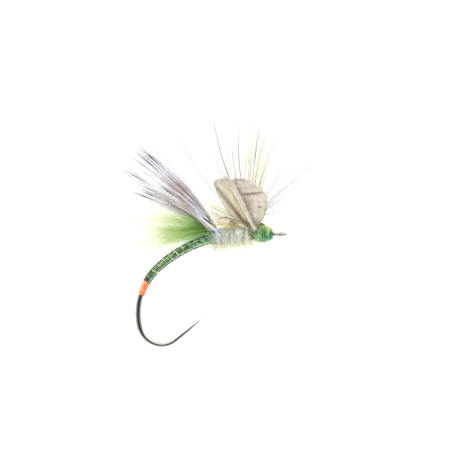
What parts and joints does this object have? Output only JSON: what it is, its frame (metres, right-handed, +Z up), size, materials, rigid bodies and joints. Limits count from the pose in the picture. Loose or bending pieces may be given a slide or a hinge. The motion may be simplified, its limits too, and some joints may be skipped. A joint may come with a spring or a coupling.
{
  "type": "dry fly",
  "caption": "Fishing fly dressed on a curved barbless hook, with a foam post, upright hackle, barred wings, a green tuft and a ribbed body.",
  "frame": {"origin": "centre of the hook's eye", "axes": "+X forward from the bend to the eye, +Z up from the shank to the foam, +Y to the fly's left side"},
  "size_m": [0.0234, 0.018, 0.0239],
  "materials": {
    "hook_wire": "dark bronzed wire",
    "green_thread": "fine waxed thread",
    "orange_floss": "bright fluorescent floss",
    "green_floss": "smooth floss",
    "rib_wire": "pale green shining rib",
    "clear_resin": "clear cured resin",
    "clear_varnish": "clear varnish",
    "quill": "trimmed quill",
    "feather_roots": "trimmed feather roots",
    "dubbing": "loose spun fur with blue sparkle",
    "foam": "soft closed-cell foam",
    "hackle": "barred feather barbs",
    "barred_feather": "white feather with brown bars",
    "green_down": "soft dyed down",
    "flash": "shining flat strands"
  },
  "bodies": {
    "hook_and_dressing": {"hook": "hook_wire", "shank_thread_base": "green_thread", "orange_butt": "orange_floss", "abdomen_floss": "green_floss", "rib_wire": "rib_wire", "abdomen_coat": "clear_resin", "head_thread": "green_thread", "whip_finish": "green_thread", "head_varnish": "clear_varnish", "hackle_stub": "quill", "foam_tie_thread": "green_thread", "trimmed_roots": "feather_roots", "thorax_thread_turns": "green_thread", "thorax_dubbing": "dubbing", "wing_lashing": "green_thread", "dubbing_hairs": "dubbing"},
    "foam_post": {"foam_flap": "foam", "foam_lobe": "foam", "neck_thread_wraps": "green_thread", "hackle_stem": "quill"},
    "hackle": {"hackle_barbs": "hackle"},
    "near_wing": {"near_wing": "barred_feather", "flash_strands": "flash"},
    "far_wing": {"far_wing": "barred_feather"},
    "tuft": {"green_tuft": "green_down"}
  },
  "joints": [
    {"name": "foam_post_lean", "type": "hinge", "parent": "hook_and_dressing", "child": "foam_post", "pos_m": [-0.00335, 0, 0.00076], "axis": [0, 1, 0], "range_deg": [-10, 8], "stiffness_Nm_per_rad": 0.00002},
    {"name": "hackle_sweep", "type": "hinge", "parent": "foam_post", "child": "hackle", "pos_m": [-0.00335, 0, 0.00119], "axis": [0, 1, 0], "range_deg": [-12, 12], "stiffness_Nm_per_rad": 0.000002},
    {"name": "near_wing_flex", "type": "hinge", "parent": "hook_and_dressing", "child": "near_wing", "pos_m": [-0.0075, -0.00046, 0.00042], "axis": [0, 1, 0], "range_deg": [-12, 12], "stiffness_Nm_per_rad": 0.000005},
    {"name": "far_wing_flex", "type": "hinge", "parent": "hook_and_dressing", "child": "far_wing", "pos_m": [-0.0075, 0.00046, 0.00042], "axis": [0, 1, 0], "range_deg": [-12, 12], "stiffness_Nm_per_rad": 0.000005},
    {"name": "tuft_flex", "type": "hinge", "parent": "hook_and_dressing", "child": "tuft", "pos_m": [-0.0075, 0, 0.00042], "axis": [0, 1, 0], "range_deg": [-6, 12], "stiffness_Nm_per_rad": 0.000003}
  ]
}
